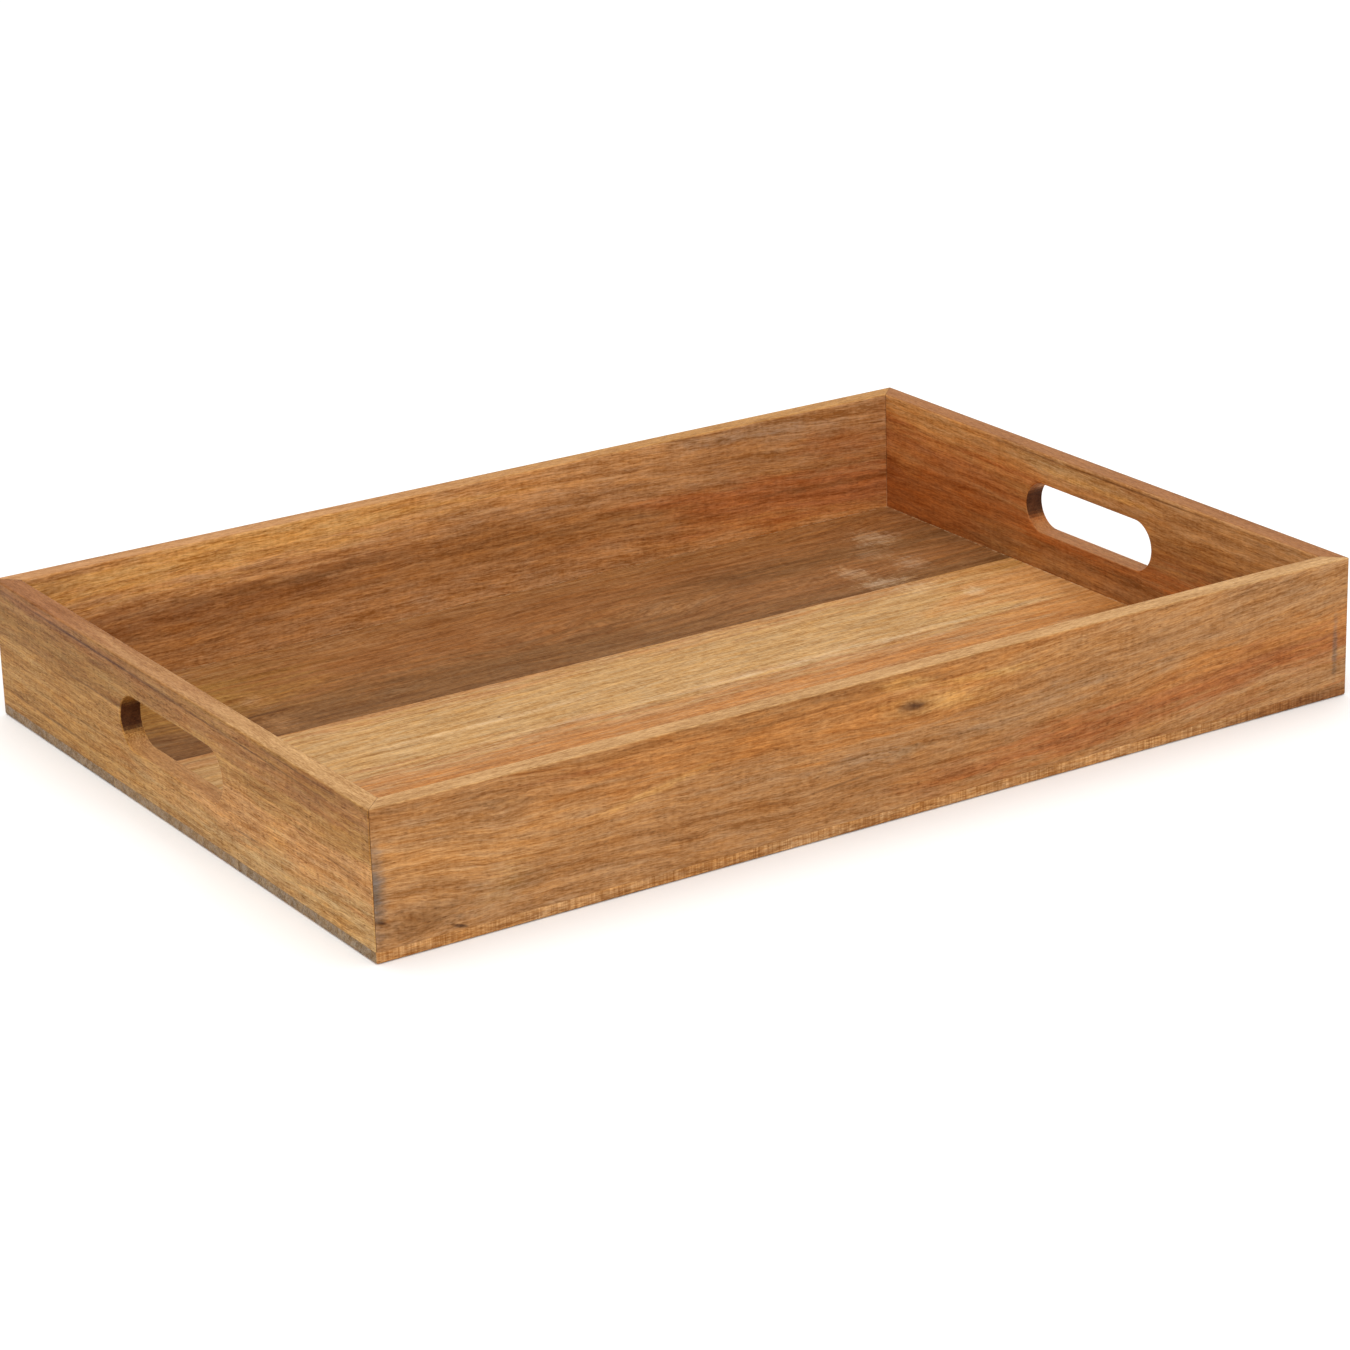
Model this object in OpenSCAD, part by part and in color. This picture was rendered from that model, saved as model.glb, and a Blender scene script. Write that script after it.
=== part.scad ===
// Serving tray: four mitred walls stand on an edge-glued base panel, with a handle slot through each end wall.
// Millimetres. +X runs along the length, +Y to the back and +Z up.
// The origin is the centre of the underside.

/* [Overall] */
// Length over the two end walls
tray_length = 500; // [420:10:600]
// Width over the two long walls
tray_width = 350; // [280:10:400]
// Height from the underside to the rim
tray_height = 65; // [64:1:90]

/* [Walls] */
// Thickness of all four walls
wall_thickness = 10; // [9:0.5:15]
// Chamfer that eases the rim and the outer corners
edge_ease = 1; // [0.5:0.25:1.5]

/* [Base] */
// Thickness of the base boards
base_thickness = 5; // [4:0.5:8]
// Y position of the joint between the back and middle boards
back_joint_y = 60; // [45:1:70]
// Y position of the joint between the middle and front boards
front_joint_y = -58; // [-70:1:-45]
// Chamfer around the outside of the underside
base_ease = 0.75; // [0.25:0.25:1.5]

/* [Handle slots] */
// Length of each slot from end to end
slot_length = 96; // [80:1:120]
// Height of each slot
slot_height = 25; // [20:0.5:26]
// Wood left between the slot and the rim
slot_rim_gap = 16; // [12:0.5:18]
// Chamfer around the mouths of each slot
slot_ease = 1; // [0.5:0.25:1.5]

/* [Mitre nails] */
// Depth of each nail's corner below the outer faces
nail_inset = 4; // [3:0.25:5]
// Length of each of a nail's two legs
nail_leg = 6; // [4:0.25:6]
// Thickness of a nail's steel
nail_gauge = 0.6; // [0.4:0.1:0.8]
// Height of each nail
nail_height = 15; // [7:1:15]
// Number of nails stacked in each corner
nail_stack = 2; // [1:1:3]

/* [Base brads] */
// Diameter of a brad's shank
brad_diameter = 1.4; // [1:0.1:1.8]
// Diameter of a brad's head
brad_head_diameter = 2.6; // [2.2:0.1:3.2]
// Length of a brad from head to tip
brad_length = 18; // [12:1:18]
// Depth of the heads below the underside
brad_sink = 0.3; // [0.1:0.1:1]
// Number of brads along each long wall
long_brads = 5; // [3:1:7]

/* [Hidden] */
$fn = 48;
half_length = tray_length / 2;
half_width = tray_width / 2;
slot_radius = slot_height / 2;
slot_top_z = tray_height - slot_rim_gap;
slot_centre_z = slot_top_z - slot_radius;
slot_arc_y = slot_length / 2 - slot_radius;
brad_head_height = 0.8;
brad_tip_height = 1.5;
brad_clearance = 0.05;
brad_corner_gap = 50;
end_brad_y = (tray_width / 2 + back_joint_y) / 2 - 17.5;
nail_gap = 0.5;
cut = 1;

// Plan of one wall: outer face on y = 0, mitred ends, and half of each eased outer corner
module wall_plan(length) {
  half = length / 2;
  polygon([
    [-half + edge_ease, 0],
    [half - edge_ease, 0],
    [half - edge_ease / 2, edge_ease / 2],
    [half - wall_thickness, wall_thickness],
    [-half + wall_thickness, wall_thickness],
    [-half + edge_ease / 2, edge_ease / 2],
  ]);
}

// Section of one wall: two eased edges at the rim
module wall_section() {
  polygon([
    [0, base_thickness],
    [wall_thickness, base_thickness],
    [wall_thickness, tray_height - edge_ease],
    [wall_thickness - edge_ease, tray_height],
    [edge_ease, tray_height],
    [0, tray_height - edge_ease],
  ]);
}

// One leg's pocket for the stacked mitre nails, at the left end of a wall
module nail_pocket(length) {
  stack_height = nail_stack * nail_height + (nail_stack - 1) * nail_gap;
  translate([-length / 2 + nail_inset, nail_inset, base_thickness - cut])
    cube([nail_leg, nail_gauge, stack_height + cut]);
}

// A wall along X with its outer face on y = 0, before it is turned to its side of the tray
module wall(length) {
  difference() {
    intersection() {
      linear_extrude(height = tray_height)
        wall_plan(length);
      translate([-length / 2, 0, 0])
        rotate([90, 0, 90])
          linear_extrude(height = length)
            wall_section();
    }
    nail_pocket(length);
    mirror([1, 0, 0])
      nail_pocket(length);
  }
}

// Turns a wall to one side: turn 0 is the front, -90 the left end, 90 the right end, 180 the back
module on_side(turn, reach) {
  rotate([0, 0, turn])
    translate([0, -reach, 0])
      children();
}

// A round-ended through slot, cut along Y through a wall whose outer face is on y = 0
module handle_slot() {
  for (side = [-1, 1]) {
    translate([side * slot_arc_y, -cut, slot_centre_z])
      rotate([-90, 0, 0])
        cylinder(r = slot_radius, h = wall_thickness + 2 * cut);
  }
  translate([-slot_arc_y, -cut, slot_centre_z - slot_radius])
    cube([2 * slot_arc_y, wall_thickness + 2 * cut, slot_height]);
}

// The chamfer around one mouth of a slot; it narrows to the slot's own size at y = slot_ease
module slot_mouth() {
  for (side = [-1, 1]) {
    translate([side * slot_arc_y, -cut, slot_centre_z])
      rotate([-90, 0, 0])
        cylinder(r1 = slot_radius + slot_ease + cut, r2 = slot_radius, h = slot_ease + cut);
  }
  translate([-slot_arc_y, 0, slot_centre_z])
    rotate([90, 0, 90])
      linear_extrude(height = 2 * slot_arc_y)
        polygon([
          [-cut, -slot_radius - slot_ease - cut],
          [slot_ease, -slot_radius],
          [slot_ease, slot_radius],
          [-cut, slot_radius + slot_ease + cut],
        ]);
}

// An end wall with its handle slot
module end_wall() {
  difference() {
    wall(tray_width);
    handle_slot();
    slot_mouth();
    translate([0, wall_thickness, 0])
      mirror([0, 1, 0])
        slot_mouth();
  }
}

// The whole base panel, with eased upright corners and an eased lower edge
module base_panel() {
  intersection() {
    linear_extrude(height = base_thickness)
      polygon([
        [-half_length + edge_ease, -half_width],
        [half_length - edge_ease, -half_width],
        [half_length, -half_width + edge_ease],
        [half_length, half_width - edge_ease],
        [half_length - edge_ease, half_width],
        [-half_length + edge_ease, half_width],
        [-half_length, half_width - edge_ease],
        [-half_length, -half_width + edge_ease],
      ]);
    translate([-half_length, 0, 0])
      rotate([90, 0, 90])
        linear_extrude(height = tray_length)
          panel_section(half_width);
    translate([0, half_width, 0])
      rotate([90, 0, 0])
        linear_extrude(height = tray_width)
          panel_section(half_length);
  }
}

// Section across the base panel, with the lower edges eased
module panel_section(half) {
  polygon([
    [-half + base_ease, 0],
    [half - base_ease, 0],
    [half, base_ease],
    [half, base_thickness],
    [-half, base_thickness],
    [-half, base_ease],
  ]);
}

// One base board: the strip of the panel from y = low to y = high
module base_board(low, high) {
  difference() {
    intersection() {
      base_panel();
      translate([-half_length - cut, low, -cut])
        cube([tray_length + 2 * cut, high - low, base_thickness + 2 * cut]);
    }
    at_each_brad()
      brad_hole();
  }
}

// Puts its children at every brad that holds the base to a wall
module at_each_brad() {
  brad_step = (tray_length - 2 * brad_corner_gap) / (long_brads - 1);
  for (side = [-1, 1]) {
    for (i = [0 : long_brads - 1]) {
      translate([-half_length + brad_corner_gap + i * brad_step, side * (half_width - wall_thickness / 2), 0])
        children();
    }
    for (y = [-end_brad_y, 0, end_brad_y]) {
      translate([side * (half_length - wall_thickness / 2), y, 0])
        children();
    }
  }
}

// One brad: sunk flat head, round shank and a short point
module brad() {
  translate([0, 0, brad_sink])
    cylinder(d = brad_head_diameter, h = brad_head_height);
  translate([0, 0, brad_sink])
    cylinder(d = brad_diameter, h = brad_length - brad_tip_height);
  translate([0, 0, brad_sink + brad_length - brad_tip_height])
    cylinder(d1 = brad_diameter, d2 = brad_diameter / 4, h = brad_tip_height);
}

// The hole for one brad, with a seat that the head bears on
module brad_hole() {
  translate([0, 0, -cut])
    cylinder(d = brad_head_diameter + 2 * brad_clearance, h = brad_sink + brad_head_height + cut);
  translate([0, 0, -cut])
    cylinder(d = brad_diameter + 2 * brad_clearance, h = brad_sink + brad_length + cut);
}

// One mitre nail: two legs at a right angle, its corner on the mitre
module mitre_nail() {
  union() {
    cube([nail_leg, nail_gauge, nail_height]);
    cube([nail_gauge, nail_leg, nail_height]);
  }
}

module front_wall() {
  color([0.66, 0.43, 0.24])
    difference() {
      on_side(0, half_width)
        wall(tray_length);
      at_each_brad()
        brad_hole();
    }
}

module back_wall() {
  color([0.60, 0.38, 0.21])
    difference() {
      on_side(180, half_width)
        wall(tray_length);
      at_each_brad()
        brad_hole();
    }
}

module left_end() {
  color([0.68, 0.49, 0.30])
    difference() {
      on_side(-90, half_length)
        end_wall();
      at_each_brad()
        brad_hole();
    }
}

module right_end() {
  color([0.55, 0.31, 0.17])
    difference() {
      on_side(90, half_length)
        end_wall();
      at_each_brad()
        brad_hole();
    }
}

module base_board_back() {
  color([0.47, 0.33, 0.20])
    base_board(back_joint_y, half_width + cut);
}

module base_board_middle() {
  color([0.76, 0.58, 0.35])
    base_board(front_joint_y, back_joint_y);
}

module base_board_front() {
  color([0.66, 0.45, 0.24])
    base_board(-half_width - cut, front_joint_y);
}

module mitre_nails() {
  color([0.55, 0.56, 0.58])
    for (mx = [0, 1]) {
      for (my = [0, 1]) {
        for (i = [0 : nail_stack - 1]) {
          mirror([mx, 0, 0])
            mirror([0, my, 0])
              translate([
                -half_length + nail_inset,
                -half_width + nail_inset,
                base_thickness + i * (nail_height + nail_gap),
              ])
                mitre_nail();
        }
      }
    }
}

module base_brads() {
  color([0.55, 0.56, 0.58])
    at_each_brad()
      brad();
}

front_wall();
back_wall();
left_end();
right_end();
base_board_back();
base_board_middle();
base_board_front();
mitre_nails();
base_brads();
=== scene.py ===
import math

import bmesh
import bpy
from mathutils import Matrix, Vector


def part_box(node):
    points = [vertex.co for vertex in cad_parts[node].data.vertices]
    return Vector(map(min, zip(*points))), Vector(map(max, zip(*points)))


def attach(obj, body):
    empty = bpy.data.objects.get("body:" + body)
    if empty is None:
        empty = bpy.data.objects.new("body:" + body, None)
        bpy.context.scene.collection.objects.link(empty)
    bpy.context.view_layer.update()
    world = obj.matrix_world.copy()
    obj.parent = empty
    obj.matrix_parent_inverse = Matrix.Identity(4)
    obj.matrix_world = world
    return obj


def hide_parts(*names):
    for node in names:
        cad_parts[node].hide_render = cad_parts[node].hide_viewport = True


bl_info = {
    "name": "Acacia serving tray",
    "version": (1, 0, 0),
    "blender": (4, 5, 0),
    "location": "View3D > Sidebar > Tray",
    "description": "Mitred serving tray in oiled acacia, with handle slots, and its studio stage",
    "category": "Add Mesh",
}

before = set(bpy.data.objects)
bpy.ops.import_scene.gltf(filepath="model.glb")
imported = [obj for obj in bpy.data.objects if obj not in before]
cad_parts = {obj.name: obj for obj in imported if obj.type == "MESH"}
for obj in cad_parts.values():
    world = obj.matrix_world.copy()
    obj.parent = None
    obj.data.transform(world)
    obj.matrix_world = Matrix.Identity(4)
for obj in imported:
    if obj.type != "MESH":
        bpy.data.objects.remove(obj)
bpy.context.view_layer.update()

# ---------------------------------------------------------------------------
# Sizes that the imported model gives, in metres
# ---------------------------------------------------------------------------
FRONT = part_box("front_wall")
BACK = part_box("back_wall")
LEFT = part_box("left_end")
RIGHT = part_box("right_end")
MIDDLE_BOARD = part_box("base_board_middle")
LENGTH = RIGHT[1].x - LEFT[0].x
WIDTH = BACK[1].y - FRONT[0].y
THICK = FRONT[1].y - FRONT[0].y
RIM = FRONT[1].z
BASE = FRONT[0].z

# Small sizes of the steel and of the cutters, in metres
BRAD_HEAD_THICKNESS = 0.0008
BRAD_POINT_LENGTH = 0.0015
BRAD_CLEARANCE = 0.00005
NAIL_GAP = 0.0005
NAIL_STACK = 2
CUTTER_OVERRUN = 0.002
SAME_PLACE = 1e-6
NAIL_EASE = 0.00008
MM_PER_METRE = 1000.0

# Edges sharper than this stay sharp when a piece is shaded smooth
SHARP_ANGLE = math.radians(35)

# Run and width in millimetres, and shift, of the noise that makes the grain lines wander
WANDER_SCALES = ((170, 46, 0), (40, 14, 5), (9, 5, 9))

# A mark this ragged lies only on the surface: brushed at its edge, and no deeper than this many millimetres
SURFACE_RAGGEDNESS = 1.5
SURFACE_DEPTH = 2.0


def linear(hex_code):
    """An sRGB hex colour as linear red, green, blue and alpha."""
    parts = [int(hex_code[i : i + 2], 16) / 255 for i in (1, 3, 5)]
    return [c / 12.92 if c <= 0.04045 else ((c + 0.055) / 1.055) ** 2.4 for c in parts] + [1.0]


# ---------------------------------------------------------------------------
# What a user would change
# ---------------------------------------------------------------------------
def length_prop(name, description, default):
    return bpy.props.FloatProperty(
        name=name, description=description, default=default, min=0.0, precision=5, unit="LENGTH"
    )


def tint_prop(name, description, hex_code):
    return bpy.props.FloatVectorProperty(
        name=name, description=description, default=linear(hex_code),
        size=4, min=0.0, max=1.0, subtype="COLOR",
    )


class TraySizes(bpy.types.PropertyGroup):
    """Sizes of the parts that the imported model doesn't give"""

    slot_length: length_prop("Slot length", "End-to-end length of each handle slot", 0.096)
    slot_height: length_prop("Slot height", "Height of each handle slot", 0.025)
    slot_centre: length_prop("Slot centre", "Height of the slots' centre above the underside", 0.0365)
    slot_round: length_prop("Slot rounding", "Radius sanded around the mouths of the slots", 0.0007)
    rim_round: length_prop("Rim rounding", "Radius sanded along the rim", 0.0010)
    corner_round: length_prop("Corner rounding", "Radius sanded down the outer corners", 0.0013)
    foot_round: length_prop("Foot rounding", "Radius sanded around the underside", 0.0008)
    joint_ease: length_prop("Joint easing", "Tiny easing that leaves a hairline at each joint", 0.00012)
    brad_corner_gap: length_prop("Brad corner gap", "From a corner to the first brad on a long wall", 0.050)
    brad_end_reach: length_prop("End brad reach", "From the middle of an end wall to its outer brads", 0.100)
    brad_head: length_prop("Brad head radius", "Radius of a brad's head", 0.0013)
    brad_shank: length_prop("Brad shank radius", "Radius of a brad's shank", 0.0007)
    brad_length: length_prop("Brad length", "Length of a brad from head to tip", 0.018)
    brad_sink: length_prop("Brad sink", "Depth of the heads below the underside", 0.0003)
    nail_inset: length_prop("Nail inset", "From the outer faces to a mitre nail's corner", 0.004)
    nail_leg: length_prop("Nail leg", "Length of a mitre nail's two legs", 0.006)
    nail_gauge: length_prop("Nail gauge", "Thickness of a mitre nail's steel", 0.0006)
    nail_height: length_prop("Nail height", "Height of one mitre nail", 0.015)
    long_brads: bpy.props.IntProperty(
        name="Brads per long wall", description="Number of brads along each long wall",
        default=5, min=2, max=12,
    )


class TrayTints(bpy.types.PropertyGroup):
    """Tones of the acacia, from its darkest heartwood to its palest streaks, and the other colours"""

    heart: tint_prop("Heart", "Dark wood in a knot or a check", "#4A2711")
    walnut: tint_prop("Walnut", "Darkest tone of the base", "#7A502B")
    umber: tint_prop("Umber", "Dark brown tone", "#8E5A30")
    chestnut: tint_prop("Chestnut", "Deep red-brown tone", "#955224")
    russet: tint_prop("Russet", "Red-orange tone", "#A56233")
    nut: tint_prop("Nut", "Warm brown tone", "#9C6737")
    olive: tint_prop("Olive", "Yellow-brown tone", "#966730")
    ochre: tint_prop("Ochre", "Light yellow-brown tone", "#A9783E")
    tan: tint_prop("Tan", "Middle tone of most boards", "#A57142")
    copper: tint_prop("Copper", "Bright orange tone", "#B2743C")
    oak: tint_prop("Oak", "Greyer light tone", "#AB794B")
    honey: tint_prop("Honey", "Light golden tone", "#B9824D")
    straw: tint_prop("Straw", "Pale tone of the middle board", "#B58A58")
    gold: tint_prop("Gold", "Brightest golden tone", "#C99250")
    cream: tint_prop("Cream", "Sapwood, and wood sanded pale", "#D2AE84")
    ash: tint_prop("Ash", "Greyed patches", "#8F7458")
    iron: tint_prop("Iron stain", "Blue-grey that steel leaves in oiled acacia", "#5D5650")
    glue: tint_prop("Glue line", "Thin dark line where two pieces meet", "#4A2F1A")
    steel: tint_prop("Drawn steel", "Bright steel of the brads and nails", "#B9BABC")
    paper: tint_prop("Studio floor", "Pale paper that the tray stands on", "#F4F3F1")


# ---------------------------------------------------------------------------
# Node helper
# ---------------------------------------------------------------------------
def add(tree, kind, inputs=(), **settings):
    """One node with its settings. An input is a value, a socket or a node, meaning its first output."""
    node = tree.nodes.new(kind)
    for key, value in settings.items():
        setattr(node, key, value)
    for key, value in inputs.items() if isinstance(inputs, dict) else enumerate(inputs):
        if isinstance(value, bpy.types.Node):
            value = value.outputs[0]
        if isinstance(value, bpy.types.NodeSocket):
            tree.links.new(value, node.inputs[key])
        elif value is not None:
            node.inputs[key].default_value = value
    return node


def new_material(name):
    """A material with an empty node tree, and that tree."""
    material = bpy.data.materials.new(name)
    material.use_nodes = True
    material.node_tree.nodes.clear()
    return material, material.node_tree


# ---------------------------------------------------------------------------
# Acacia
# ---------------------------------------------------------------------------
# Each board is described by the way its grain runs, the tones across its width at a few stations along its
# length, and the marks on it. Places are millimetres in the tray's own frame: "along" the grain, "across" the
# board's wide face, and "depth" in from its outer or upper face.
#   slot:     material slot in the record
#   axes:     the tray's axes that run along and across
#   depth:    the axis into the board, its sign, and what to add so that the outer or upper face is at 0
#   span:     where the first and the last tone across the board stand
#   pith:     centre of the growth rings, across and in depth
#   bow:      how much the grain lines curve, and where they are level
#   slope:    how far the grain lines rise across for each millimetre along
#   wander:   how far the grain lines stray, over long, middling and short runs
#   rings:    strength of the growth rings
#   contrast: strength of the rings, streaks and fibres together
#   pores:    strength of the pores, flecks and growth lines
#   balance:  scales the whole board's red, green and blue, so that it comes out right under the studio light
#   seed:     shifts the noise, so that no two boards match
#   rim:      tone at the low end, tone at the high end, and how much of the rim they cover; partly the sanded wood's tone, partly painted light and sheen on the upward faces
#   end:      tone of the cut ends
#   stations: (where these tones take over, half width of the change, tones evenly spaced across the board)
#   knots:    (along, across, reach along, reach across, how far it pushes the grain aside)
#   marks:    (along, across, reach along, reach across, turn in degrees, tone, strength, raggedness)
BOARD_DEFAULTS = {
    "bow": (0.0, 0.0),
    "slope": 0.0,
    "rings": 0.5,
    "contrast": 1.0,
    "rim": ("cream", "cream", 0.0),
    "knots": [],
}
BOARDS = {
    "front_wall": {
        "slot": "acacia_front",
        "axes": ("X", "Z"),
        "depth": ("Y", 1, 175.0),
        "span": (5.0, 65.0),
        "pith": (-60.0, 38.0),
        "bow": (0.00018, -20.0),
        "wander": (5.0, 1.5, 0.4),
        "pores": 0.6,
        "balance": (0.84, 0.85, 0.83),
        "seed": 3.1,
        "rim": ("straw", "straw", 0.85),
        "end": "umber",
        "stations": [
            (-250, 0, "oak oak honey honey oak tan nut"),
            (-150, 50, "oak tan tan oak copper copper nut"),
            (40, 60, "tan russet tan oak tan honey copper"),
            (130, 60, "oak russet copper oak oak oak oak"),
        ],
        "knots": [
            (8, 49, 26, 7.5, 5.5),
            (8, 29, 22, 6.0, 3.2),
            (-236, 17, 36, 17, 11.0),
            (-180, 52, 30, 10, 4.0),
        ],
        "marks": [
            (22, 48, 36, 6.0, -4, "gold", 0.60, 0.8),
            (52, 54, 34, 2.4, -3, "gold", 0.70, 0.7),
            (4, 60, 20, 4.0, -6, "gold", 0.55, 0.8),
            (9, 48.5, 12, 4.2, -3, "umber", 0.70, 0.7),
            (9, 49, 9, 2.2, -3, "heart", 0.80, 0.5),
            (4, 26, 9, 4.0, 4, "umber", 0.50, 1.4),
            (5, 29, 16, 3.0, 4, "ash", 0.50, 1.0),
            (-228, 14, 22, 8.5, 8, "walnut", 0.65, 0.8),
            (-190, 20, 14, 8, 30, "gold", 0.30, 1.2),
            (-190, 54, 30, 2.2, -8, "walnut", 0.45, 0.7),
            (-150, 57, 40, 1.6, -3, "chestnut", 0.45, 0.7),
            (-120, 42, 34, 2.2, 10, "gold", 0.50, 0.8),
            (-28, 23, 22, 0.7, 4, "heart", 0.50, 0.4),
            (-30, 33, 30, 1.2, 4, "umber", 0.45, 0.6),
            (-212, 6.8, 5, 1.0, -20, "heart", 0.85, 0.4),
            (-246.5, 16.6, 3.4, 0.9, -20, "heart", 0.80, 0.4),
            (-250, 31, 7.0, 24, 0, "iron", 0.80, 0.5),
            (242.5, 24, 2.0, 19, 0, "iron", 0.50, 0.5),
            (70, 35, 60, 6, 7, "ash", 0.24, 1.0),
            (-25, 31, 34, 4, 2, "ash", 0.30, 0.9),
            (-190, 17, 26, 9, 10, "ash", 0.30, 1.2),
            (190, 29, 60, 3.6, 4, "russet", 0.35, 0.8),
            (170, 22, 60, 3.2, 5, "russet", 0.40, 0.8),
        ],
    },
    "back_wall": {
        "slot": "acacia_back",
        "axes": ("X", "Z"),
        "depth": ("Y", -1, 175.0),
        "span": (5.0, 65.0),
        "pith": (-90.0, 60.0),
        "bow": (-0.00010, -90.0),
        "wander": (4.0, 1.2, 0.3),
        "pores": 0.5,
        "balance": (1.08, 1.12, 1.20),
        "seed": 11.7,
        "rim": ("oak", "ochre", 0.85),
        "end": "nut",
        "stations": [
            (-210, 0, "tan nut umber umber honey gold honey"),
            (-150, 50, "tan tan nut umber honey gold gold"),
            (-40, 50, "oak tan nut nut oak honey honey"),
            (110, 60, "honey copper russet russet tan tan oak"),
        ],
        "knots": [(-120, 38, 70, 14, 3.0)],
        "marks": [
            (-225, 59, 18, 6, 0, "umber", 0.40, 1.0),
            (-130, 53, 80, 2.6, -2, "gold", 0.65, 0.8),
            (-20, 58, 70, 1.8, -2, "gold", 0.55, 0.8),
            (-150, 46, 50, 1.4, -1, "gold", 0.40, 0.8),
            (-110, 37, 90, 4.0, 0, "walnut", 0.55, 0.8),
            (60, 30, 90, 2.0, -1, "walnut", 0.40, 0.8),
            (205, 24, 60, 2.4, -2, "walnut", 0.50, 0.8),
            (210, 44, 34, 9, -6, "russet", 0.50, 0.9),
            (150, 60, 60, 4, -3, "ash", 0.40, 0.9),
        ],
    },
    "left_end": {
        "slot": "acacia_left",
        "axes": ("Y", "Z"),
        "depth": ("X", 1, 250.0),
        "span": (0.0, 65.0),
        "pith": (-120.0, 40.0),
        "bow": (0.00006, 60.0),
        "wander": (2.4, 1.2, 0.5),
        "contrast": 1.1,
        "pores": 1.0,
        "balance": (0.92, 0.94, 0.86),
        "seed": 21.3,
        "rim": ("straw", "umber", 0.85),
        # The slot ends in the heart tone: partly dark end grain, partly painted shade inside the slot
        "end": "heart",
        "stations": [
            (-90, 0, "straw straw honey honey ochre nut olive"),
            (20, 80, "ochre ochre ochre ochre olive olive umber"),
        ],
        "knots": [(-130, 50, 26, 6, 1.6)],
        "marks": [
            (90, 58.6, 150, 2.6, 0.4, "umber", 0.45, 0.6),
            (90, 60.6, 130, 0.9, 0.4, "heart", 0.80, 0.3),
            (-60, 58.9, 110, 0.6, 0.5, "heart", 0.55, 0.3),
            (-120, 62.6, 50, 0.6, 0.0, "heart", 0.45, 0.4),
            (60, 41, 70, 1.0, 0.8, "heart", 0.40, 0.4),
            (120, 13, 60, 0.9, 0.6, "heart", 0.50, 0.4),
            (90, 22, 60, 0.7, 0.4, "heart", 0.35, 0.4),
            (-70, 19, 26, 0.9, -1.5, "heart", 0.50, 0.4),
            (-150, 33, 22, 0.8, 1.0, "heart", 0.40, 0.4),
            (-95, 26, 14, 12, 0, "gold", 0.35, 0.9),
            (-140, 8, 40, 7, 0, "gold", 0.35, 1.0),
            (150, 61, 50, 4, 0, "umber", 0.35, 0.9),
            (-128, 52, 26, 5, 0, "umber", 0.40, 1.0),
        ],
    },
    "right_end": {
        "slot": "acacia_right",
        "axes": ("Y", "Z"),
        "depth": ("X", -1, 250.0),
        "span": (5.0, 65.0),
        "pith": (-150.0, 70.0),
        "slope": 0.01,
        "wander": (2.2, 1.0, 0.4),
        "contrast": 0.9,
        "pores": 0.5,
        "balance": (1.18, 1.24, 1.22),
        "seed": 33.9,
        "rim": ("umber", "umber", 0.88),
        # The slot ends in the heart tone: partly dark end grain, partly painted shade inside the slot
        "end": "heart",
        "stations": [
            (-60, 0, "umber umber chestnut umber nut tan oak"),
            (70, 50, "chestnut chestnut chestnut russet russet copper honey"),
        ],
        "marks": [
            (-20, 63.0, 130, 0.7, 0.0, "heart", 0.60, 0.5),
            (15, 59.0, 60, 5.0, 0.3, "straw", 0.70, 0.9),
            (-10, 56.5, 50, 1.6, 0.3, "gold", 0.60, 0.8),
            (150, 36, 24, 10, 0, "copper", 0.45, 1.0),
            (30, 9, 60, 4, 0, "nut", 0.50, 1.0),
            (90, 50, 90, 0.7, 0.3, "chestnut", 0.60, 0.5),
        ],
    },
    "base_board_back": {
        "slot": "acacia_base_back",
        "axes": ("X", "Y"),
        "depth": ("Z", -1, 5.0),
        "span": (60.0, 165.0),
        "pith": (20.0, 60.0),
        "slope": 0.01,
        "wander": (9.0, 3.0, 0.8),
        "rings": 0.35,
        "contrast": 1.15,
        "pores": 0.35,
        "balance": (0.90, 0.95, 1.0),
        "seed": 47.2,
        "end": "ash",
        "stations": [
            (-230, 0, "walnut walnut olive olive tan"),
            (-150, 60, "walnut walnut umber umber tan"),
            (80, 60, "walnut umber walnut umber nut"),
        ],
        "knots": [(40, 100, 80, 22, 6.0)],
        "marks": [
            (204, 127, 13, 15, 30, "cream", 0.28, 1.6),
            (190, 108, 12, 12, 0, "cream", 0.12, 1.6),
            (164, 86, 9, 18, 12, "cream", 0.24, 1.6),
            (196, 84, 12, 12, 0, "cream", 0.18, 1.6),
            (168, 66, 16, 8, 0, "cream", 0.30, 1.6),
            (-157, 106, 8, 12, 0, "oak", 0.45, 1.6),
            (-160, 75, 10, 14, 0, "oak", 0.35, 1.6),
            (-170, 88, 40, 1.6, 2, "heart", 0.35, 0.6),
            (-120, 70, 60, 1.6, 1, "heart", 0.35, 0.6),
            (130, 88, 18, 10, 0, "oak", 0.20, 1.4),
            (110, 120, 30, 20, 0, "heart", 0.22, 1.3),
            (-20, 118, 14, 8, 0, "oak", 0.30, 1.5),
            (70, 100, 30, 12, 0, "oak", 0.25, 1.5),
        ],
    },
    "base_board_middle": {
        "slot": "acacia_base_middle",
        "axes": ("X", "Y"),
        "depth": ("Z", -1, 5.0),
        "span": (-58.0, 60.0),
        "pith": (-160.0, 90.0),
        "slope": 0.004,
        "wander": (3.0, 1.6, 0.5),
        "rings": 0.3,
        "contrast": 0.95,
        "pores": 0.35,
        "balance": (0.97, 1.0, 1.0),
        "seed": 58.6,
        "end": "ash",
        "stations": [
            (-60, 0, "tan tan copper oak straw straw straw straw oak"),
            # Past x = 195 the board turns darker and more orange toward the right end wall: partly its own
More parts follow.
